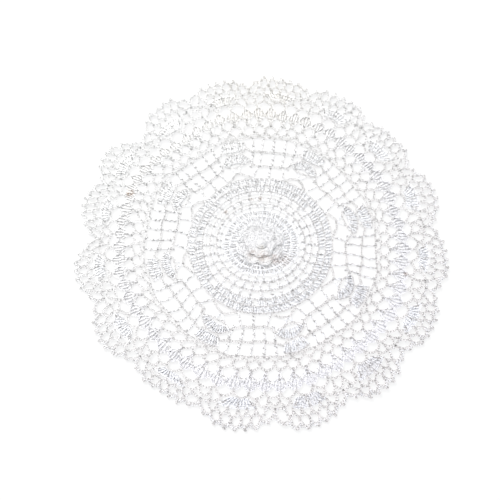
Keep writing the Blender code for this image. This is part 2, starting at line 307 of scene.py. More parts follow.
class Crochet:
    """The centrelines of one piece's thread, gathered by kind, in the flat pattern."""

    def __init__(self):
        self.kinds = {}

    def add(self, strands, closed, shade=DENSE):
        """Strands that all have as many points, each closed or each open."""
        self.kinds.setdefault((closed, strands.shape[1], shade), []).append(strands)

    def chain(self, path, pitch=CHAIN_PITCH, count=None, width=1.25, shade=LONE):
        """Chain stitches, each looped through the last, along the path."""
        steps = np.linalg.norm(np.diff(path, axis=0), axis=1)
        along = np.concatenate([[0.0], np.cumsum(steps)])
        count = count or max(1, round(along[-1] / pitch))
        stations = np.linspace(0.0, along[-1], count + 1)
        knots = np.stack([np.interp(stations, along, path[:, k]) for k in range(3)], axis=1)
        run = np.diff(knots, axis=0)
        length = np.linalg.norm(run, axis=1, keepdims=True)
        forward = run / length
        side = level_side(forward)
        side /= np.maximum(np.linalg.norm(side, axis=1, keepdims=True), 1e-9)
        up = np.cross(forward, side)
        loops = np.empty((count, len(CHAIN_LOOP), 3))
        loosen = rng.uniform(*CHAIN_SLACK, (count, 1)) * width
        for k, point in enumerate(CHAIN_LOOP):
            loops[:, k] = (
                knots[:-1]
                + forward * (point.along * length)
                + side * (point.across * loosen)
                + up * point.up
            )
        self.add(loops, True, shade)

    def posts(
        self, paths, turns=1.1, points=POST_POINTS, wraps=(0.55,), spread=POST_TWIST_RADIUS,
        shade=DENSE, first_shade=DENSE,
    ):
        """Upright stitches along paths of a few guide points each.

        Each is two strands twisted together, held by a wrap of thread at each of these
        shares of its height. The first strand can have a cotton of its own.
        """
        axis = paths[:, -1] - paths[:, 0]
        axis = axis / np.linalg.norm(axis, axis=1, keepdims=True)
        side = np.cross(UP, axis)
        side /= np.maximum(np.linalg.norm(side, axis=1, keepdims=True), 1e-9)
        up = np.cross(axis, side)
        phase = rng.uniform(0.0, 2.0 * np.pi, (len(paths), 1, 1))
        share = np.linspace(0.0, 1.0, points)
        bump = rng.uniform(-1.0, 1.0, (len(paths), 1, 1)) * POST_UNEVENNESS * up[:, None]
        middle = eased_path(paths, share) + bump * np.sin(np.pi * share)[None, :, None]
        for strand, strand_shade in ((0.0, first_shade), (np.pi, shade)):
            turn = phase + strand + 2.0 * np.pi * turns * share[None, :, None]
            offset = np.cos(turn) * side[:, None] + np.sin(turn) * up[:, None]
            self.add(middle + offset * spread, False, strand_shade)
        for share in wraps:
            slid = share + rng.uniform(-WRAP_SLIDE, WRAP_SLIDE, len(paths))
            reach = np.array([share - WRAP_SLIDE, share + WRAP_SLIDE])
            bottoms, tops = eased_path(paths, reach).swapaxes(0, 1)
            climb = (slid - share) / (2.0 * WRAP_SLIDE) + 0.5
            centres = bottoms + (tops - bottoms) * climb[:, None]
            self.wraps(centres + bump[:, 0], axis, side, up, spread * WRAP_STOUTNESS, shade=shade)

    def speckled_posts(self, paths, darker_every, spread, shade=DENSE):
        """Posts of a dense area, one in so many with a strand and wraps of lone thread: painted shade
        specks.
        """
        darker = np.arange(len(paths)) % darker_every == darker_every - 1
        self.posts(paths[~darker], spread=spread, shade=shade, first_shade=shade)
        self.posts(paths[darker], spread=spread, shade=LONE, first_shade=shade)

    def bed(self, inner, outer, shade=DENSE):
        """Plain thread across a dense area, under its stitches, between two edge paths."""
        depth = np.linalg.norm(outer - inner, axis=1).max()
        count = max(2, round(depth / BED_SPACING))
        for share in (np.arange(count) + 0.5) / count:
            path = inner + (outer - inner) * share
            waves = rng.normal(0.0, BED_WAVE, (len(path), 1)) * (outer - inner) / depth
            path = path + waves
            path[:, 2] = BED_HEIGHT
            self.add(path[None], False, shade)

    def wraps(self, centres, axis, side, up, radius, tilt=WRAP_TILT, shade=DENSE):
        """A turn of thread round a stitch, aslant."""
        around = np.linspace(0.0, 2.0 * np.pi, WRAP_POINTS + 1)[None, :-1, None]
        turn = np.cos(around) * side[:, None] + np.sin(around) * up[:, None]
        slant = np.cos(around) * tilt * axis[:, None]
        self.add(centres[:, None] + (turn + slant) * radius, True, shade)

    def knots(self, shares, degrees, radius=KNOT_RADIUS):
        """Single crochets: pairs of small wraps of thread where loops are joined."""
        centres = spots(shares, degrees)
        outward = centres * LEVEL
        outward /= np.linalg.norm(outward, axis=1, keepdims=True)
        side = level_side(outward)
        up = np.broadcast_to(UP, side.shape)
        for shift in (-KNOT_HALF_GAP, KNOT_HALF_GAP):
            self.wraps(centres + outward * shift, outward, side, up, radius, KNOT_TILT, LONE)

    def piece(self, name, materials):
        """The gathered thread, laid on the table, as one mesh object with these cottons."""
        points, corners, sizes, uvs, shades = [], [], [], [], []
        first = 0
        for (closed, _, shade), groups in self.kinds.items():
            strands = np.concatenate(groups)
            shape = strands.shape
            strands = as_laid(strands.reshape(-1, 3)).reshape(shape)
            tube_points, face_groups = tubes(strands, closed)
            points.append(tube_points)
            for faces, face_uvs in face_groups:
                corners.append((faces + first).reshape(-1))
                sizes.append(np.full(len(faces), faces.shape[1]))
                shades.append(np.full(len(faces), shade))
                uvs.append(face_uvs.reshape(-1, 2))
            first += len(tube_points)
        made = mesh_object(name, *(np.concatenate(part) for part in (points, corners, sizes, uvs)))
        for material in materials:
            made.data.materials.append(material)
        made.data.polygons.foreach_set("material_index", np.concatenate(shades).astype(np.int32))
        return made


def tubes(strands, closed):
    """Thread along centrelines that all have as many points: (points, [(faces, uvs), ...])."""
    count, length = strands.shape[:2]
    sides = THREAD_SIDES
    if closed:
        tangent = np.roll(strands, -1, axis=1) - np.roll(strands, 1, axis=1)
    else:
        tangent = np.gradient(strands, axis=1)
    tangent /= np.maximum(np.linalg.norm(tangent, axis=2, keepdims=True), 1e-12)
    side = np.cross(tangent, UP)
    steep = np.linalg.norm(side, axis=2, keepdims=True) < STEEP
    side = np.where(steep, np.cross(tangent, STEEP_SIDE), side)
    side /= np.maximum(np.linalg.norm(side, axis=2, keepdims=True), 1e-12)
    up = np.cross(side, tangent)
    around = np.linspace(0.0, 2.0 * np.pi, sides + 1)[:-1] + np.pi / sides
    ring = np.cos(around)[:, None] * side[:, :, None] + np.sin(around)[:, None] * up[:, :, None]
    points = (strands[:, :, None] + ring * THREAD_RADIUS).reshape(-1, 3)
    index = np.arange(count * length * sides).reshape(count, length, sides)
    nearer = index if closed else index[:, :-1]
    farther = np.roll(index, -1, axis=1) if closed else index[:, 1:]
    near_next = np.roll(nearer, -1, axis=2)
    far_next = np.roll(farther, -1, axis=2)
    walls = np.stack([nearer, near_next, far_next, farther], axis=-1).reshape(-1, 4)
    steps = np.linalg.norm(np.roll(strands, -1, axis=1) - strands, axis=2)
    end = np.cumsum(steps, axis=1)
    start = end - steps
    spans = length if closed else length - 1
    v0 = np.broadcast_to(np.arange(sides) / sides, (count, spans, sides))
    u0 = np.broadcast_to(start[:, :spans, None], v0.shape) / PLY_LENGTH
    u1 = np.broadcast_to(end[:, :spans, None], v0.shape) / PLY_LENGTH
    v1 = v0 + 1.0 / sides
    wall_corners = [np.stack(corner, axis=-1) for corner in ((u0, v0), (u0, v1), (u1, v1), (u1, v0))]
    wall_uvs = np.stack(wall_corners, axis=-2).reshape(-1, 4, 2)
    groups = [(walls, wall_uvs)]
    if not closed:
        caps = np.concatenate([index[:, 0, ::-1], index[:, -1]])
        groups.append((caps, np.zeros((len(caps), sides, 2))))
    return points, groups


def mesh_object(name, points, corners, sizes, uvs):
    """A mesh from its points, its faces' corners in a row, and each face's number of corners."""
    mesh = bpy.data.meshes.new(name)
    mesh.vertices.add(len(points))
    mesh.vertices.foreach_set("co", points.astype(np.float32).reshape(-1))
    mesh.loops.add(len(corners))
    mesh.loops.foreach_set("vertex_index", corners.astype(np.int32))
    mesh.polygons.add(len(sizes))
    starts = np.concatenate([[0], np.cumsum(sizes)[:-1]])
    mesh.polygons.foreach_set("loop_start", starts.astype(np.int32))
    mesh.update(calc_edges=True)
    thread_map = mesh.uv_layers.new(name="thread")
    thread_map.data.foreach_set("uv", uvs.astype(np.float32).reshape(-1))
    mesh.validate()
    mesh.shade_smooth()
    made = bpy.data.objects.new(name, mesh)
    bpy.context.scene.collection.objects.link(made)
    return made


# ---- rounds of the pattern
# Places are shares of the radius and degrees.
DenseRound = namedtuple("DenseRound", "inner outer stitches")
DISC_ROUNDS = (
    DenseRound(0.050, 0.088, 36),
    DenseRound(0.088, 0.125, 54),
    DenseRound(0.125, 0.163, 72),
    DenseRound(0.163, 0.199, 90),
)
RING_STITCHES = 24  # chain of the ring that the disc starts from
INNER_BAND = DenseRound(0.307, 0.346, 120)
OUTER_BAND = DenseRound(0.346, 0.385, 134)
BAND_STOUTNESS = 1.35
GAP_HALF = 2.1  # half of each gap in the inner round of the band
# How unevenly posts stand in a dense round and how far they lean, in widths of a stitch, how
# far they stay inside it, and how much their height varies.
POST_PLAY = 0.34
POST_LEAN = 0.25
POST_FOOT_INSET = 0.002
POST_TOP_INSET = 0.001
POST_TOP_PLAY = 0.003


def dense_round(work, row, gaps=None, stoutness=1.0, heads=DENSE, darker_every=2):
    """A round of double crochet with chain heads along its outer edge, and maybe gaps."""
    stitches = row.stitches
    degrees = np.arange(stitches) * 360.0 / stitches
    degrees = degrees + rng.uniform(-POST_PLAY, POST_PLAY, stitches) * 360.0 / stitches
    if gaps is not None:
        away = np.abs((degrees[:, None] - gaps[None] + 180.0) % 360.0 - 180.0).min(axis=1)
        degrees = degrees[away > GAP_HALF]
    lean = POST_LEAN * 360.0 / stitches
    top_shares = row.outer - POST_TOP_INSET + rng.uniform(-POST_TOP_PLAY, POST_TOP_PLAY, len(degrees))
    feet = spots(row.inner + POST_FOOT_INSET, degrees)
    tops = spots(top_shares, degrees + lean)
    work.speckled_posts(straight(feet, tops), darker_every, POST_TWIST_RADIUS * stoutness)
    work.chain(ring_path(row.outer), count=stitches, width=1.0, shade=heads)
    if gaps is None:
        stretches = [np.linspace(0.0, 360.0, 73)]
    else:
        stretches = [np.linspace(m + GAP_HALF, m + REPEAT_DEG - GAP_HALF, 10) for m in gaps]
    for around in stretches:
        work.bed(spots(row.inner, around), spots(row.outer, around))


MeshRound = namedtuple("MeshRound", "inner outer turn_deg")
MESH_ROUNDS = (
    MeshRound(0.199, 0.233, 5.9),
    MeshRound(0.233, 0.268, 1.9),
    MeshRound(0.268, 0.307, 1.9),
)
MESH_CELLS = 32
MESH_PLAY = 0.7
# Each upright of the mesh is two posts side by side.
MeshPost = namedtuple("MeshPost", "shift lean")
MESH_POSTS = (MeshPost(-0.75, 0.4), MeshPost(0.75, 0.0))
MESH_SECOND_CHAIN = 0.008  # how far inside its edge a round has its second, paler chain
MESH_KNOT_INSET = 0.003
MESH_KNOT_RADIUS = 0.00085


def filet_round(work, row):
    """A round of square mesh: a pair of posts, then chain, all the way round."""
    degrees = row.turn_deg + np.arange(MESH_CELLS) * 360.0 / MESH_CELLS
    degrees = degrees + rng.uniform(-MESH_PLAY, MESH_PLAY, MESH_CELLS)
    for post in MESH_POSTS:
        feet = spots(row.inner, degrees + post.shift)
        tops = spots(row.outer, degrees + post.shift + post.lean)
        work.posts(straight(feet, tops), turns=1.2, spread=POST_TWIST_RADIUS * 1.1, shade=LONE)
    work.chain(ring_path(row.outer), width=1.4)
    work.chain(ring_path(row.outer - MESH_SECOND_CHAIN), width=1.1, shade=DENSE)
    work.knots([row.outer - MESH_KNOT_INSET] * MESH_CELLS, degrees + 0.2, MESH_KNOT_RADIUS)


# A line across a fan or a shell: where its middle lies, its half width in degrees, and how
# far its ends droop below the middle, as a share of the radius.
Line = namedtuple("Line", "share half droop")
FanRow = namedtuple("FanRow", "foot top stitches")
NET_FAN_ROWS = (
    FanRow(Line(0.486, 5.6, 0.010), Line(0.540, 8.6, 0.036), 13),
    FanRow(Line(0.548, 5.0, -0.008), Line(0.611, 6.6, 0.012), 10),
)
SCALLOP_FAN = FanRow(Line(0.834, 2.9, 0.002), Line(0.891, 5.5, 0.013), 10)
FAN_STOUTNESS = 1.35
FAN_PLAY = 0.04


def across(line, middle, t):
    """Points of a line across the fan at this angle; t runs from -1 to 1."""
    return spots(line.share - line.droop * t**2, middle + line.half * t)


def fan_row(work, row, middle, darker_every=3, heads=LONE):
    """One row of a fan: posts that spread upwards, with chain heads along the top."""
    t = np.linspace(-1.0, 1.0, row.stitches)
    t_top = t + rng.uniform(-FAN_PLAY, FAN_PLAY, row.stitches)
    tops = spots(row.top.share - row.top.droop * t**2, middle + row.top.half * t_top)
    posts = straight(across(row.foot, middle, t), tops)
    work.speckled_posts(posts, darker_every, POST_TWIST_RADIUS * FAN_STOUTNESS)
    edge = np.linspace(-1.0, 1.0, 25)
    top_edge = across(row.top, middle, edge)
    work.bed(across(row.foot, middle, edge)[::2], top_edge[::2])
    work.chain(top_edge, width=1.0, shade=heads)


LOOP_WANDER = 0.13  # how far a loop leans to either side, in widths of the loop
LOOP_PLAY = 0.004  # how much the loops' peaks vary


def loop_round(work, feet, peaks, fullness, closed=True):
    """Loops of chain from foot to foot, with a single crochet at each foot."""
    spans = list(zip(feet, feet[1:] + (feet[:1] if closed else [])))
    paths = []
    for (start, end), peak in zip(spans, peaks):
        if end[1] < start[1] - 180.0:
            end = (end[0], end[1] + 360.0)
        wander = rng.uniform(-LOOP_WANDER, LOOP_WANDER) * (end[1] - start[1])
        peak = peak + rng.uniform(-LOOP_PLAY, LOOP_PLAY)
        paths.append(arch(start, end, peak, fullness, wander))
        work.chain(paths[-1], width=LOOP_WIDTH)
    work.knots([f[0] for f in feet], [f[1] for f in feet])
    return paths


def make_centre(materials):
    """The dense disc under the rose and three rounds of mesh."""
    work = Crochet()
    work.chain(ring_path(DISC_ROUNDS[0].inner), count=RING_STITCHES)
    for row in DISC_ROUNDS:
        dense_round(work, row)
    for row in MESH_ROUNDS:
        filet_round(work, row)
    return work.piece("centre_rounds", materials)


def make_band(materials):
    """The dense band, its inner round parted at the middle of each net panel."""
    work = Crochet()
    panel_middles = FAN_DEG + REPEAT_DEG * (np.arange(REPEATS) + 0.5)
    dense_round(work, INNER_BAND, panel_middles, BAND_STOUTNESS, LONE, 3)
    dense_round(work, OUTER_BAND, None, BAND_STOUTNESS, LONE, 3)
    return work.piece("dense_band", materials)


# Runs of chain beside a fan, from the net's panel to the fan or along the underside of one of
# its rows, in degrees from the fan's middle. Each is mirrored on the fan's other side.
Knot = namedtuple("Knot", "share degrees")
FAN_LOOP = (
    Knot(0.391, 10.2), Knot(0.394, 8.6), Knot(0.403, 6.2), Knot(0.416, 3.8), Knot(0.426, 0.0),
)
FIRST_BAR = (
    Knot(0.455, 22.5), Knot(0.456, 16.0), Knot(0.460, 13.9),
    Knot(0.472, 11.0), Knot(0.487, 9.2), Knot(0.496, 8.0),
)
FAN_UNDERSIDE = (Knot(0.490, 8.2), Knot(0.476, 5.4), Knot(0.463, 2.6))
SECOND_BAR = (
    Knot(0.538, 22.5), Knot(0.540, 16.3), Knot(0.545, 10.2), Knot(0.556, 8.0), Knot(0.566, 6.4),
)
TOP_UNDERSIDE = (Knot(0.564, 6.4), Knot(0.551, 5.0), Knot(0.543, 3.4))
# The small shell at a fan's foot is open in the middle: its stitches on one side. A pair of
# long posts stands at each end of the panel.
FOOT_SHELL_FEET = (Knot(0.430, 0.3), Knot(0.430, 0.8))
FOOT_SHELL_TOPS = (Knot(0.463, 2.3), Knot(0.461, 3.3))
FOOT_SHELL_CHAIN = (Knot(0.463, -3.0), Knot(0.467, 0.0), Knot(0.463, 3.0))
FAN_FOOT_KNOT = 0.427
PANEL_END_FEET = (Knot(0.390, 10.3), Knot(0.392, 10.7))
PANEL_END_TOPS = (Knot(0.457, 13.7), Knot(0.457, 14.1))
# The posts of a panel's three rounds, in degrees from its middle, and how much closer
# together their tops are.
NetPosts = namedtuple("NetPosts", "inner outer offsets narrowing")
NET_POSTS = (
    NetPosts(0.387, 0.455, (0.0,), 1.0),
    NetPosts(0.458, 0.537, (-12.3, -6.6, 0.0, 6.6, 12.3), 0.98),
    NetPosts(0.541, 0.618, (-12.0, -6.15, 0.0, 6.15, 12.0), 0.98),
)
NET_PLAY = 0.4
NET_BEND = 0.0007
NET_WRAPS = (0.12, 0.45, 0.88)
NET_EDGE = 0.617
NET_EDGE_PLAY = 0.006


def beside(knots, fan, side=1.0):
    """The (share, degrees) places of these knots on one side of a fan."""
    return [(k.share, fan + side * k.degrees) for k in knots]


def spots_beside(knots, fan, side):
    """The same places as points."""
    return spots(*zip(*beside(knots, fan, side)))


def net_posts(work, row, middle):
    """The posts of one round of a panel: long, a little bent, wrapped three times."""
    count = len(row.offsets)
    offsets = np.array(row.offsets) + rng.uniform(-NET_PLAY, NET_PLAY, count)
    top_degrees = middle + offsets * row.narrowing
    feet = spots(row.inner, middle + offsets)
    tops = spots(row.outer, top_degrees)
    bends = rng.normal(0.0, NET_BEND, feet.shape) * LEVEL
    paths = np.stack([feet, (feet + tops) / 2 + bends, tops], axis=1)
    work.posts(paths, 1.7, LONG_POST_POINTS, NET_WRAPS, POST_TWIST_RADIUS * 1.7, LONE)
    work.knots([row.outer] * count, top_degrees)


def make_net(materials):
    """Three rounds of open net in eight panels, with a two-tier fan between panels."""
    work = Crochet()

    def chain_both_sides(knots, fan):
        """A run of chain and its mirror image."""
        for side in (-1.0, 1.0):
            work.chain(bar(beside(knots, fan, side)), pitch=0.0015, width=1.7)

    for repeat in range(REPEATS):
        fan = FAN_DEG + REPEAT_DEG * repeat
        panel = fan + REPEAT_DEG / 2
        chain_both_sides(FAN_LOOP, fan)
        work.knots([FAN_FOOT_KNOT], [fan])
        for side in (-1.0, 1.0):
            feet = spots_beside(FOOT_SHELL_FEET, fan, side)
            work.posts(straight(feet, spots_beside(FOOT_SHELL_TOPS, fan, side)))
            feet = spots_beside(PANEL_END_FEET, fan, side)
            posts = straight(feet, spots_beside(PANEL_END_TOPS, fan, side))
            work.posts(posts, 1.6, LONG_POST_POINTS, (0.3, 0.65), shade=LONE)
        work.chain(bar(beside(FOOT_SHELL_CHAIN, fan), bow=0.0))
        for row in NET_FAN_ROWS:
            fan_row(work, row, fan)
        for knots in (FIRST_BAR, FAN_UNDERSIDE, SECOND_BAR, TOP_UNDERSIDE):
            chain_both_sides(knots, fan)
        for row in NET_POSTS:
            net_posts(work, row, panel)
    edge_knots = np.arange(0.0, 360.0, SHELL_DEG / 2)
    shares = NET_EDGE + rng.uniform(0.0, NET_EDGE_PLAY, len(edge_knots))
    work.chain(bar([*zip(shares, edge_knots), (shares[0], 360.0)], bow=0.004))
    return work.piece("net_and_fans", materials)


LoopRound = namedtuple("LoopRound", "foot peak fullness")
LOW_LOOPS = LoopRound(0.623, 0.645, 0.70)
TALL_LOOPS = LoopRound(0.648, 0.689, 0.45)
# A shell: the lines on which the guide points of its stitches lie, from the stem up, the lines
# of its bed's foot and of its heads, and the wraps round its stem.
SHELL_STITCHES = 5
SHELL_LINES = (
    Line(0.691, 0.35, 0.0),
    Line(0.726, 0.35, 0.0),
    Line(0.734, 3.1, 0.002),
    Line(0.788, 2.6, 0.030),
)
SHELL_BED = Line(0.742, 2.1, 0.0)
SHELL_HEADS = Line(0.792, 2.75, 0.033)
SHELL_STOUTNESS = 1.25
STEM_WRAPS = (0.691, 0.708, 0.726)
STEM_WRAP_RADIUS = 0.0009


def make_loop_rounds(materials):
    """A round of low loops, a round of tall ones, and 64 shells on top."""
    work = Crochet()
    whole = [FAN_DEG + SHELL_DEG * k for k in range(SHELLS)]
    half = [angle + SHELL_DEG / 2 for angle in whole]
    for row, angles in ((LOW_LOOPS, half), (TALL_LOOPS, whole)):
        loop_round(work, [(row.foot, a) for a in angles], [row.peak] * SHELLS, row.fullness)
    t = np.linspace(-1.0, 1.0, SHELL_STITCHES)
    edge = np.linspace(-1.0, 1.0, 7)
    for angle in half:
        posts = np.stack([across(line, angle, t) for line in SHELL_LINES], axis=1)
        # every fifth post is painted darker, as painted shade: the last of the shell
        work.speckled_posts(posts, 5, POST_TWIST_RADIUS * SHELL_STOUTNESS, SHELL)
        heads = across(SHELL_HEADS, angle, edge)
        work.bed(across(SHELL_BED, angle, edge), heads, SHELL)
        work.chain(heads, width=1.0, shade=SHELL)
    for share in STEM_WRAPS:
        work.knots([share] * SHELLS, half, STEM_WRAP_RADIUS)
    return work.piece("loops_and_shells", materials)


# How far out a row of the edge lies on the crown of a scallop, how much less it does in the
# notches, and how sharply it dips towards them.
Dip = namedtuple("Dip", "crown depth power")
LARGE_LOOP_PEAK = Dip(0.833, 0.011, 2.2)
INNER_EDGING_FOOT = Dip(0.889, 0.026, 2.2)
INNER_EDGING_PEAK = Dip(0.931, 0.045, 3.0)
PICOT_EDGING_PEAK = Dip(0.977, 0.074, 3.0)
LARGE_LOOP_FOOT = 0.790
LARGE_LOOP_FULLNESS = 0.45


def dipped(row, offset):
    """How far out a row lies, at an angle from its scallop's crown."""
    return row.crown - row.depth * (abs(offset) / (SCALLOP_DEG / 2)) ** row.power


CROWN_ANGLES = [FAN_DEG + SCALLOP_DEG * index for index in range(2 * REPEATS)]
# Loops from one scallop's fan to the next, in degrees from the first one's crown.
NOTCH_FEET = (
    Knot(0.856, 3.9), Knot(0.835, 5.8), Knot(0.826, 9.4),
    Knot(0.826, 13.1), Knot(0.835, 16.7), Knot(0.856, 18.6),
)
NOTCH_PEAKS = (0.872, 0.876, 0.870, 0.876, 0.872)


def make_scallops(materials):
    """64 large loops, then a dense fan on the crown of each scallop and loops between."""
    work = Crochet()
    feet, peaks = [], []
    for k in range(SHELLS):
        offset = SHELL_DEG * ((k + 2) % 4 - 2)  # from the nearest crown
        feet.append((LARGE_LOOP_FOOT, FAN_DEG + SHELL_DEG * (k - 0.5)))
        peaks.append(dipped(LARGE_LOOP_PEAK, offset))
    loop_round(work, feet, peaks, LARGE_LOOP_FULLNESS)
    for crown in CROWN_ANGLES:
        fan_row(work, SCALLOP_FAN, crown, darker_every=5, heads=DENSE)
        loop_round(work, beside(NOTCH_FEET, crown), NOTCH_PEAKS, 0.5, closed=False)
    return work.piece("scallop_fans", materials)


# Feet of the loops of a scallop's two edging rows, in degrees from its crown.
INNER_FEET = (-8.6, -5.7, -2.85, 0.0, 2.85, 5.7, 8.6, 13.9)
OUTER_FEET = (-11.25, -7.15, -4.3, -1.4, 1.4, 4.3, 7.15, 11.25)
# The part of a loop that is worked over with short stitches, as shares of its length.
WORKED_FROM, WORKED_TO = 0.14, 0.86
PICOT_RISE = 0.006
PICOT_RADIUS = 0.0008


def middles(values):
    """Halfway from each value to the next."""
    return [(a + b) / 2 for a, b in zip(values, values[1:])]


def make_inner_edging(materials):
    """A row of small loops round every scallop."""
    work = Crochet()
    for crown in CROWN_ANGLES:
        feet = []
        for offset in INNER_FEET:
            from_crown = min(abs(offset), SCALLOP_DEG - abs(offset))
            feet.append((dipped(INNER_EDGING_FOOT, from_crown), crown + offset))
        peaks = [dipped(INNER_EDGING_PEAK, offset) for offset in middles(INNER_FEET)]
        for path in loop_round(work, feet, peaks, 0.55, closed=False):
            worked_over(work, path, stitches=5, height=0.0013)
    return work.piece("inner_edging", materials)


def make_picot_edging(materials):
    """The last row of loops, worked over, with a picot on each."""
    work = Crochet()
    for crown in CROWN_ANGLES:
        feet = [(dipped(INNER_EDGING_PEAK, offset), crown + offset) for offset in OUTER_FEET]
        offsets = middles(OUTER_FEET)
        peaks = [dipped(PICOT_EDGING_PEAK, offset) for offset in offsets]
        paths = loop_round(work, feet, peaks, 0.34, closed=False)
        for path, offset, peak in zip(paths, offsets, peaks):
            worked_over(work, path, stitches=9, height=0.0019)
            picot(work, peak + PICOT_RISE, crown + offset)
    return work.piece("picot_edging", materials)


def worked_over(work, path, stitches, height):
    """Short single crochets that stand on the outer side of a loop."""
    places = np.linspace(WORKED_FROM, WORKED_TO, stitches) * (len(path) - 1)
    numbers = np.arange(len(path))
    feet = np.stack([np.interp(places, numbers, path[:, k]) for k in range(3)], axis=1)
    ahead = np.stack([np.interp(places + 0.5, numbers, path[:, k]) for k in range(3)], axis=1)
    out = -level_side(ahead - feet)
    out /= np.linalg.norm(out, axis=1, keepdims=True)
    work.posts(straight(feet, feet + out * height), turns=0.6, points=4, wraps=(), shade=LONE)


def picot(work, share, degrees):
    """A little closed ring of chain that stands out from the edge."""
    middle = spots(share, [degrees])[0]
    outward = middle * LEVEL / np.hypot(middle[0], middle[1])
    side = np.array([-outward[1], outward[0], 0.0])
    around = np.linspace(-np.pi, np.pi, 13)[:, None]
    away = outward * (PICOT_RADIUS * (1.1 + np.cos(around)))
    work.chain(middle + away + side * (PICOT_RADIUS * np.sin(around)), count=3)


# ---- the rose
# A layer of petals: radii and heights in metres, the half width of a petal's root and
# tip in degrees, the angle of the first petal, its rows, and the stitches of the first.
PetalLayer = namedtuple(
    "PetalLayer", "petals inner outer root_height tip_height root_half tip_half turn_deg rows stitches"
)
PETAL_LAYERS = (
    PetalLayer(8, 0.0060, 0.0182, 0.0028, 0.0029, 19.0, 21.0, 17.0, 2, 9),
    PetalLayer(8, 0.0040, 0.0112, 0.0044, 0.0046, 20.0, 22.0, 39.5, 1, 8),
)
PETAL_PLAY = 3.0
# A petal is shorter at its sides, and its middle lies a hair lower than its sides do.
LOBE_DEPTH = 0.34
LOBE_POWER = 2.6
CUP_DEPTH = 0.25
CUP_POWER = 1.4
# How far the stitches of a row stay inside it, as shares of the petal.
ROW_FOOT_INSET = 0.02
ROW_TOP_INSET = 0.03
BUD_RADIUS = 0.0056
BUD_TOP = 0.0078
BUD_DROP = 0.0046
BUD_POWER = 2.2
BUD_TURNS = 4
BUD_START = 0.15  # of the first turn
BUD_PITCH = 0.0016


def petal_line(layer, turn, t, out):
    """Points across a petal; t runs from -1 to 1, and out from 0, its root, to 1, its tip."""
    half = layer.root_half + (layer.tip_half - layer.root_half) * out
    lobe = np.maximum(1.0 - LOBE_DEPTH * np.abs(t) ** LOBE_POWER, 0.0)
    radius = layer.inner + (layer.outer - layer.inner) * out * lobe
    cup = 1.0 - CUP_DEPTH + CUP_DEPTH * np.abs(t)
    height = layer.root_height + (layer.tip_height - layer.root_height) * out**CUP_POWER * cup
    return spots(radius / RADIUS, turn + half * t, height)


def make_rose(materials):
    """Two layers of petals worked in rows, and a bud of spiralling chain."""
    work = Crochet()
    for layer in PETAL_LAYERS:
        for petal in range(layer.petals):
            turn = layer.turn_deg + 360.0 / layer.petals * petal + rng.uniform(-PETAL_PLAY, PETAL_PLAY)
            for row in range(layer.rows):
                low = row / layer.rows
                high = (row + 1) / layer.rows
                t = np.linspace(-1.0, 1.0, layer.stitches + 2 * row)
                feet = petal_line(layer, turn, t, low + ROW_FOOT_INSET)
                tops = petal_line(layer, turn, t, high - ROW_TOP_INSET)
                work.posts(straight(feet, tops), spread=POST_TWIST_RADIUS * 1.1)
                work.chain(petal_line(layer, turn, np.linspace(-1.0, 1.0, 25), high))
    turns = np.linspace(BUD_START, BUD_TURNS, 40 * BUD_TURNS)
    out = turns / BUD_TURNS
    height = BUD_TOP - BUD_DROP * out**BUD_POWER
    spiral = spots(BUD_RADIUS * out / RADIUS, np.degrees(turns * 2.0 * np.pi), height)
    work.chain(spiral, pitch=BUD_PITCH, shade=DENSE)
    return work.piece("rose", materials)


# ---- materials
# Painted shade and light: thread is painted darker and bluer at the near side, lighter towards the
# window.
NEAR_PAINTED_SHADE_TINT = (0.872, 0.876, 0.920, 1.0)
FAR_PAINTED_LIGHT_TINT = (1.0, 0.996, 0.984, 1.0)
# A cotton: its whiteness goes from low to high as the noise does from thin to thick, the painted
# shade in its crevices is as dark as deepest, and its tint goes from a darker
# painted-shade tint at the near side to a lighter painted-light tint at the far side.
Cotton = namedtuple("Cotton", "name low high deepest thin thick near_tint far_tint", defaults=(FAR_PAINTED_LIGHT_TINT,))
COTTONS = (
    Cotton("white_cotton", 0.56, 1.00, 0.88, 0.35, 0.44, NEAR_PAINTED_SHADE_TINT),
    # Painted shade: the same cotton, painted darker for lone thread.
    Cotton("white_cotton_lone_painted_shade", 0.44, 0.80, 0.45, 0.36, 0.54, (0.910, 0.874, 0.874, 1.0)),
    Cotton(
        "white_cotton_shell", 0.62, 0.96, 0.87, 0.35, 0.48,
        (0.878, 0.868, 0.908, 1.0), (0.925, 0.918, 0.900, 1.0),
    ),
)
# The rose's painted shade at its near side.
ROSE_NEAR_PAINTED_SHADE_TINT = (0.900, 0.890, 0.915, 1.0)
ROSE_COTTONS = (
    Cotton("white_cotton_rose", 0.57, 0.87, 0.90, 0.35, 0.44, ROSE_NEAR_PAINTED_SHADE_TINT),
    Cotton("white_cotton_rose_edge", 0.55, 0.92, 0.80, 0.36, 0.52, ROSE_NEAR_PAINTED_SHADE_TINT),
)
# The painted light grows along this direction.
PAINTED_LIGHT_DIRECTION = (-0.6, 1.0, 0.0)  # from the near side to the far one
NOISE_SCALE = 750.0
# how far the ambient occlusion looks for thread close by, for the painted crevice shade
CREVICE_DEPTH = 0.0012
PLY_DEPTH = 0.00008
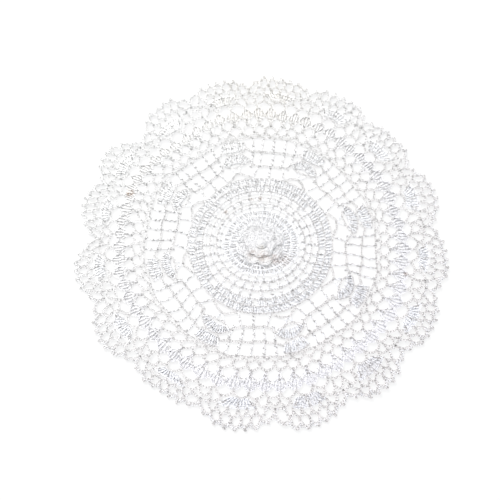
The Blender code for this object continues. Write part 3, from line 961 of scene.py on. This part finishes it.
# A stain or a spot of painted light or shade: its middle and its radius in metres, its colour, and
# how strong it is at its middle. A colour above 1 is a painted highlight that makes the cotton whiter,
# where the near petals are in the light.
StainOrPaintedLight = namedtuple("StainOrPaintedLight", "middle radius colour strength")
RUST = (0.42, 0.27, 0.17, 1.0)
PAINTED_SHADE_GREY = (0.42, 0.37, 0.36, 1.0)
PAINTED_HIGHLIGHT = (1.20, 1.18, 1.16, 1.0)
STAINS_AND_PAINTED_LIGHT = (
    StainOrPaintedLight((-0.1067, 0.0415, 0.001), 0.0048, RUST, 1.00),
    StainOrPaintedLight((0.1150, -0.0220, 0.001), 0.0030, (0.36, 0.23, 0.16, 1.0), 1.00),
    StainOrPaintedLight((-0.0083, 0.0392, 0.001), 0.0026, RUST, 0.90),
    StainOrPaintedLight((-0.0012, 0.0398, 0.001), 0.0026, RUST, 0.90),
    StainOrPaintedLight((-0.0286, 0.0269, 0.001), 0.0024, RUST, 0.90),
    StainOrPaintedLight((0.0786, 0.0341, 0.001), 0.0024, RUST, 0.60),
    # Painted shadow, tinted brown: under the front of the rose's upper petals, and cast by the rose to
    # its lower right.
    StainOrPaintedLight((-0.0060, -0.0095, 0.003), 0.0060, (0.76, 0.63, 0.56, 1.0), 0.60),
    StainOrPaintedLight((0.0020, -0.0110, 0.002), 0.0066, (0.76, 0.55, 0.43, 1.0), 0.75),
    StainOrPaintedLight((0.0100, -0.0125, 0.002), 0.0056, (0.66, 0.50, 0.42, 1.0), 0.70),
    StainOrPaintedLight((0.0185, -0.0130, 0.001), 0.0078, (0.56, 0.46, 0.42, 1.0), 0.75),
    # A large cream-coloured patch over the far edge.
    StainOrPaintedLight((0.0000, 0.1400, 0.001), 0.0650, (0.96, 0.925, 0.87, 1.0), 0.90),
    # Painted shade, tan, under the near side of the bud.
    StainOrPaintedLight((0.0005, -0.0045, 0.006), 0.0040, (0.80, 0.74, 0.62, 1.0), 0.60),
    # Painted highlights on the near petals.
    StainOrPaintedLight((-0.0050, -0.0152, 0.003), 0.0064, PAINTED_HIGHLIGHT, 1.00),
    StainOrPaintedLight((0.0055, -0.0155, 0.003), 0.0064, PAINTED_HIGHLIGHT, 1.00),
    # Painted shade, grey, on the fans at 288, 311 and 334 degrees, on the side away from the window.
    StainOrPaintedLight((0.0400, -0.1250, 0.001), 0.0130, PAINTED_SHADE_GREY, 0.40),
    StainOrPaintedLight((0.0850, -0.0985, 0.001), 0.0180, PAINTED_SHADE_GREY, 0.50),
    StainOrPaintedLight((0.0740, -0.0370, 0.001), 0.0220, (0.55, 0.54, 0.58, 1.0), 0.35),
)


def ranged(nodes, links, value, low, high, to_low, to_high):
    """A value brought from one range to another."""
    node = nodes.new("ShaderNodeMapRange")
    for name, number in (("From Min", low), ("From Max", high), ("To Min", to_low), ("To Max", to_high)):
        node.inputs[name].default_value = number
    links.new(value, node.inputs["Value"])
    return node.outputs["Result"]


def maths(nodes, links, operation, *values):
    """One step of arithmetic on numbers or other nodes' values."""
    node = nodes.new("ShaderNodeMath")
    node.operation = operation
    for socket, value in zip(node.inputs, values):
        if isinstance(value, float):
            socket.default_value = value
        else:
            links.new(value, socket)
    return node.outputs["Value"]


def mixed(nodes, links, factor, first, second):
    """A colour from the first to the second as the factor goes from 0 to 1."""
    node = nodes.new("ShaderNodeMix")
    node.data_type = "RGBA"
    links.new(factor, node.inputs["Factor"])
    for name, value in (("A", first), ("B", second)):
        if isinstance(value, tuple):
            node.inputs[name].default_value = value
        else:
            links.new(value, node.inputs[name])
    return node.outputs["Result"]


def ply_twist(nodes, links):
    """The height of the thread's twisted plies, from the turns along and round it."""
    thread_map = nodes.new("ShaderNodeUVMap")
    thread_map.uv_map = "thread"
    split = nodes.new("ShaderNodeSeparateXYZ")
    links.new(thread_map.outputs["UV"], split.inputs["Vector"])
    turn = maths(nodes, links, "ADD", split.outputs["X"], split.outputs["Y"])
    return maths(nodes, links, "SINE", maths(nodes, links, "MULTIPLY", turn, 2.0 * math.pi))


def placed(nodes, links, operation, place, point):
    """The dot product or the distance of the object's own coordinates and a point."""
    node = nodes.new("ShaderNodeVectorMath")
    node.operation = operation
    links.new(place, node.inputs[0])
    node.inputs[1].default_value = point
    return node.outputs["Value"]


def stained_and_painted(nodes, links, place, patches, tint):
    """Stains, painted shadows and painted highlights on the tint: soft-edged spots, thin where patches
    are low.
    """
    for spot in STAINS_AND_PAINTED_LIGHT:
        away = placed(nodes, links, "DISTANCE", place, spot.middle)
        spot_strength = ranged(nodes, links, away, 0.25 * spot.radius, spot.radius, spot.strength, 0.0)
        tint = mixed(nodes, links, maths(nodes, links, "MULTIPLY", spot_strength, patches), tint, spot.colour)
    return tint


def cotton_thread(cotton):
    """Twisted cotton thread, uneven in whiteness, with painted shade in its crevices and at its near
    side, and with stains, painted shadows and painted highlights.
    """
    material = bpy.data.materials.new(cotton.name)
    material.use_nodes = True
    nodes = material.node_tree.nodes
    links = material.node_tree.links
    shader = nodes["Principled BSDF"]
    shader.inputs["Sheen Weight"].default_value = 0.25
    shader.inputs["Sheen Roughness"].default_value = 0.5
    shader.inputs["Specular IOR Level"].default_value = 0.35
    place = nodes.new("ShaderNodeTexCoord").outputs["Object"]
    noise_node = nodes.new("ShaderNodeTexNoise")
    noise_node.inputs["Scale"].default_value = NOISE_SCALE
    noise_node.inputs["Detail"].default_value = 1.5
    links.new(place, noise_node.inputs["Vector"])
    noise = noise_node.outputs["Fac"]
    whiteness = ranged(nodes, links, noise, cotton.thin, cotton.thick, cotton.low, cotton.high)
    links.new(ranged(nodes, links, noise, 0.3, 0.7, 0.64, 0.80), shader.inputs["Roughness"])
    # Painted shade: the thread is darkened where ambient occlusion finds other thread close by.
    occlusion = nodes.new("ShaderNodeAmbientOcclusion")
    occlusion.inputs["Distance"].default_value = CREVICE_DEPTH
    occlusion.samples = 6
    depth = ranged(nodes, links, occlusion.outputs["AO"], 0.25, 0.80, cotton.deepest, 1.0)
    whiteness_with_painted_shade = maths(nodes, links, "MULTIPLY", whiteness, depth)
    # Painted shade and light: the tint goes from darker at the near side to lighter at the far one.
    along = placed(nodes, links, "DOT_PRODUCT", place, PAINTED_LIGHT_DIRECTION)
    far = ranged(nodes, links, along, -RADIUS, RADIUS, 0.0, 1.0)
    tint = mixed(nodes, links, far, cotton.near_tint, cotton.far_tint)
    patches = ranged(nodes, links, noise, 0.40, 0.56, 1.0, 0.15)
    scale = nodes.new("ShaderNodeVectorMath")
    scale.operation = "SCALE"
    links.new(stained_and_painted(nodes, links, place, patches, tint), scale.inputs[0])
    links.new(whiteness_with_painted_shade, scale.inputs["Scale"])
    links.new(scale.outputs["Vector"], shader.inputs["Base Color"])
    bump = nodes.new("ShaderNodeBump")
    bump.inputs["Strength"].default_value = 0.5
    bump.inputs["Distance"].default_value = PLY_DEPTH
    links.new(ply_twist(nodes, links), bump.inputs["Height"])
    links.new(bump.outputs["Normal"], shader.inputs["Normal"])
    return material


def white_floor():
    """A floor that comes out plain white, with only a faint shadow on it."""
    material = bpy.data.materials.new("white_floor")
    material.use_nodes = True
    shader = material.node_tree.nodes["Principled BSDF"]
    shader.inputs["Base Color"].default_value = (0.15, 0.15, 0.15, 1.0)
    shader.inputs["Roughness"].default_value = 0.9
    shader.inputs["Emission Color"].default_value = (1.0, 1.0, 1.0, 1.0)
    shader.inputs["Emission Strength"].default_value = 0.78
    return material


# ---- camera, floor and light
# How high above the table the camera looks from, and how far it is from the middle.
CAMERA_DEG = 69.0
CAMERA_DISTANCE = 0.867
CAMERA_AIM = (-0.0084, -0.0044, 0.0)
CAMERA_LENS = 78.3
LIGHT_PLACE = (-0.78, 0.98, 1.81)


def add_facing(name, data, place, aim):
    """A camera or a light at a place, turned towards another."""
    made = bpy.data.objects.new(name, data)
    made.location = place
    made.rotation_mode = "QUATERNION"
    made.rotation_quaternion = (Vector(aim) - made.location).to_track_quat("-Z", "Y")
    bpy.context.scene.collection.objects.link(made)
    return made


def add_camera():
    """The view that fits the photograph."""
    data = bpy.data.cameras.new("camera")
    data.sensor_width = 36.0
    data.lens = CAMERA_LENS
    elevation = math.radians(CAMERA_DEG)
    place = (0.0, -CAMERA_DISTANCE * math.cos(elevation), CAMERA_DISTANCE * math.sin(elevation))
    bpy.context.scene.camera = add_facing("camera", data, place, CAMERA_AIM)


def add_floor():
    """A hair under the doily, so that the two don't touch."""
    bpy.ops.mesh.primitive_plane_add(size=6.0, location=(0.0, 0.0, -0.0002))
    floor = bpy.context.object
    floor.name = "floor"
    floor.data.materials.append(white_floor())


def add_lights():
    """A soft window beyond the far left of the doily, and an even white room."""
    data = bpy.data.lights.new("window", "AREA")
    data.size = 1.3
    data.energy = 46.0
    data.color = (1.0, 0.99, 0.97)
    add_facing("window", data, LIGHT_PLACE, (0.0, 0.0, 0.0))
    world = bpy.data.worlds.new("room")
    world.use_nodes = True
    background = world.node_tree.nodes["Background"]
    background.inputs["Color"].default_value = (0.95, 0.97, 1.0, 1.0)
    background.inputs["Strength"].default_value = 0.98
    bpy.context.scene.world = world


# ---- the whole
add_camera()
add_floor()
add_lights()
bpy.context.scene.view_settings.view_transform = "Standard"

thread = [cotton_thread(cotton) for cotton in COTTONS]  # in the order DENSE, LONE, SHELL
rose = make_rose([cotton_thread(cotton) for cotton in ROSE_COTTONS])
centre = make_centre(thread)
band = make_band(thread)
net = make_net(thread)
loops_and_shells = make_loop_rounds(thread)
edge_rounds = [make_scallops(thread), make_inner_edging(thread), make_picot_edging(thread)]
for piece in [rose, centre, band, net, loops_and_shells, *edge_rounds]:
    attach(piece, "root")
    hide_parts("doily")
